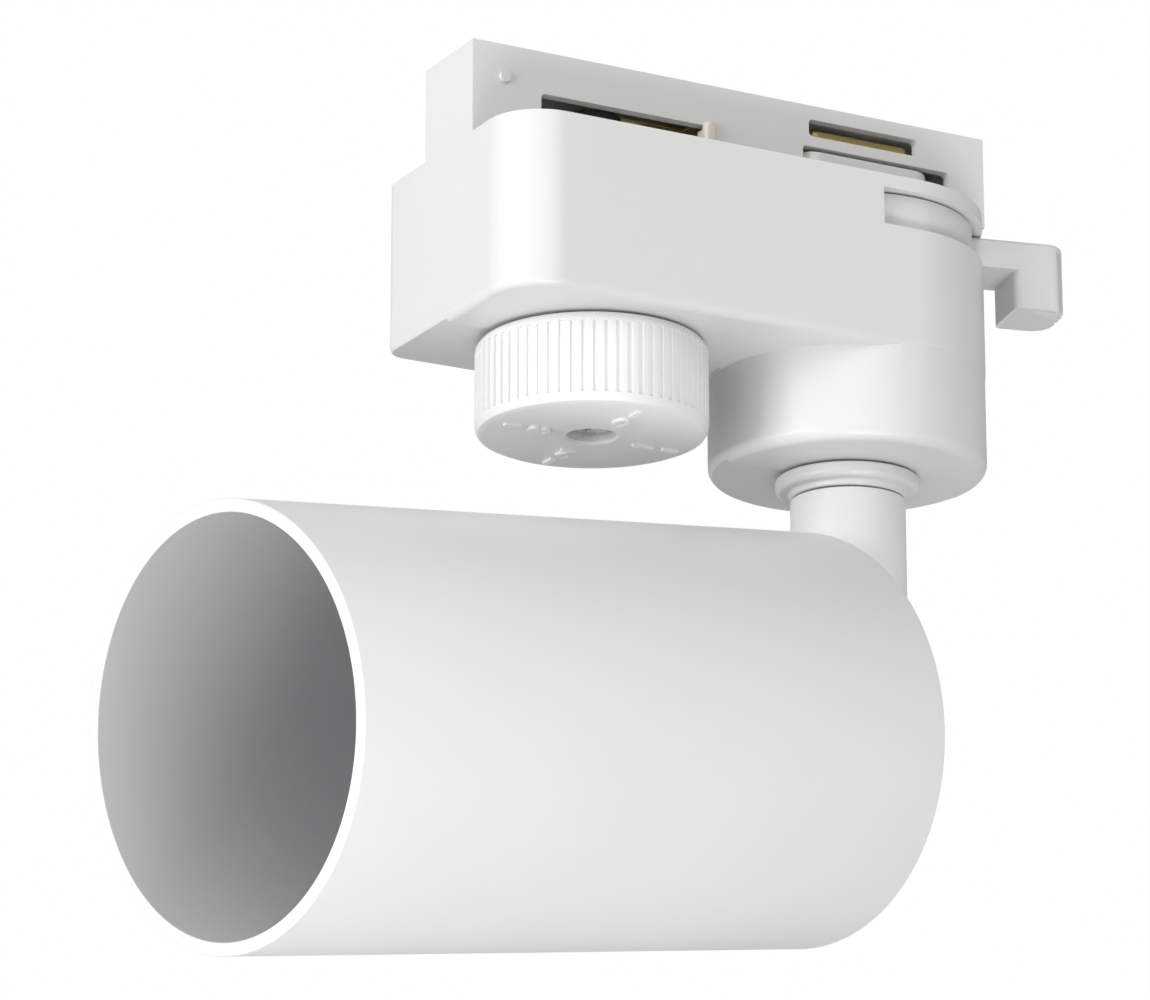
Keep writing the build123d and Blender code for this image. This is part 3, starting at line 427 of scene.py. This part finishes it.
# The head is one length of drawn aluminium tube, turned true at both ends with a small
# chamfer, then powder coated. Its inside faces are painted a darker grey: painted shade
# for the shade that falls inside the tube.
tube_inside_shade = finish_material(
    "tube_inside_painted_shade", (0.56, 0.56, 0.565), (0.55, 0.55, 0.55), 0.38, 0.05, 0.012, 40.0,
    1100.0, 0.0, 0.00003, 0.0)
pivot_place = Vector(next(j for j in frame["joints"] if j["name"] == "tilt")["pos_m"])
pan_turn = math.radians(11.5)
tilt_turn = math.radians(8.0)
forward = Vector((
    -math.cos(tilt_turn) * math.cos(pan_turn), -math.cos(tilt_turn) * math.sin(pan_turn),
    -math.sin(tilt_turn)))
across = Vector((-math.sin(pan_turn), math.cos(pan_turn), 0.0))
upward = forward.cross(across)
head_place = Matrix((
    (across.x, upward.x, forward.x, pivot_place.x),
    (across.y, upward.y, forward.y, pivot_place.y),
    (across.z, upward.z, forward.z, pivot_place.z),
    (0.0, 0.0, 0.0, 1.0)))
tube_outer = 0.0275
tube_inner = 0.0258
tube_start = 0.00965
tube_length = 0.095
tube_end = tube_start + tube_length
same_place = 0.000001
tube = bmesh.new()
section = [
    tube.verts.new((radius, 0.0, height)) for radius, height in (
        (tube_inner, tube_start), (tube_outer, tube_start), (tube_outer, tube_end),
        (tube_inner, tube_end))]
tube_edges = [tube.edges.new((section[i], section[(i + 1) % 4])) for i in range(4)]
bmesh.ops.spin(
    tube, geom=section + tube_edges, cent=(0.0, 0.0, 0.0), axis=(0.0, 0.0, 1.0),
    angle=math.tau, steps=256, use_merge=True)
bmesh.ops.remove_doubles(tube, verts=tube.verts, dist=same_place)
bmesh.ops.recalc_face_normals(tube, faces=tube.faces)
rims = [
    edge for edge in tube.edges
    if abs(edge.verts[0].co.z - edge.verts[1].co.z) < same_place
    and abs(edge.verts[0].co.xy.length - edge.verts[1].co.xy.length) < same_place]
bmesh.ops.bevel(
    tube, geom=rims, offset=0.00035, offset_type="OFFSET", segments=3, profile=0.5,
    affect="EDGES", material=-1)
# Faces on the tube's inside take the second material, which is painted shade.
for face in tube.faces:
    middle = face.calc_center_median()
    face.material_index = 1 if middle.xy.length < tube_inner + 0.0001 else 0
bmesh.ops.transform(tube, matrix=head_place, verts=tube.verts)
tube_piece = keep_piece("drawn_tube", tube, coat_white, "head", 35.0)
# The second material slot holds the painted shade for the tube's inside.
tube_piece.data.materials.append(tube_inside_shade)
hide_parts("head_tube")

# The lampholder is unglazed steatite, screwed to a steel strap inside the rear cap.
steatite = finish_material(
    "steatite", (0.72, 0.69, 0.61), (0.80, 0.78, 0.72), 0.62, 0.08, 0.03, 200.0,
    1500.0, 0.3, 0.00006, 0.0)
give("lamp_holder", steatite)
soften("lamp_holder", 0.0003)

# The lamp is a short 50 mm reflector lamp on two pins. Its pressed-glass body is silvered
# inside, and a split steel ring keeps it in the tube.
lamp_silver = finish_material(
    "lamp_silver", (0.80, 0.81, 0.83), (0.90, 0.90, 0.92), 0.12, 0.06, 0.03, 120.0,
    900.0, 0.3, 0.00005, 1.0)
give("lamp_body", lamp_silver)
give("retaining_ring", spring_steel)
pin_nickel = finish_material(
    "pin_nickel", (0.66, 0.62, 0.52), (0.80, 0.78, 0.70), 0.28, 0.10, 0.04, 300.0,
    4000.0, 0.6, 0.00001, 1.0)
give("lamp_pins", pin_nickel)
lens_glass = bpy.data.materials.new("lens_glass")
lens_glass.use_nodes = True
lens_shader = lens_glass.node_tree.nodes["Principled BSDF"]
lens_shader.inputs["Base Color"].default_value = (0.95, 0.96, 0.97, 1.0)
lens_shader.inputs["Roughness"].default_value = 0.06
lens_shader.inputs["Transmission Weight"].default_value = 1.0
lens_shader.inputs["IOR"].default_value = 1.47
lens_nodes = lens_glass.node_tree.nodes
lens_links = lens_glass.node_tree.links
lens_coords = lens_nodes.new("ShaderNodeTexCoord")
lens_cells = lens_nodes.new("ShaderNodeTexVoronoi")
lens_cells.inputs["Scale"].default_value = 420.0
lens_bump = lens_nodes.new("ShaderNodeBump")
lens_bump.inputs["Strength"].default_value = 0.6
lens_bump.inputs["Distance"].default_value = 0.0004
lens_links.new(lens_coords.outputs["Object"], lens_cells.inputs["Vector"])
lens_links.new(lens_cells.outputs["Distance"], lens_bump.inputs["Height"])
lens_links.new(lens_bump.outputs["Normal"], lens_shader.inputs["Normal"])
give("lamp_lens", lens_glass)

# A soft rubber grommet takes the leads through the cap. The leads have silicone jackets
# that stand the lamp's heat.
grommet_rubber = finish_material(
    "grommet_rubber", (0.03, 0.03, 0.03), (0.08, 0.08, 0.08), 0.65, 0.08, 0.06, 300.0,
    1600.0, 0.3, 0.00005, 0.0)
give("lead_grommet", grommet_rubber)
soften("lead_grommet", 0.0002)
lead_silicone = finish_material(
    "lead_silicone", (0.62, 0.62, 0.60), (0.70, 0.70, 0.68), 0.50, 0.06, 0.04, 300.0,
    1400.0, 0.2, 0.00004, 0.0)
for leads in ("adapter_leads", "stem_leads", "head_leads"):
    give(leads, lead_silicone)
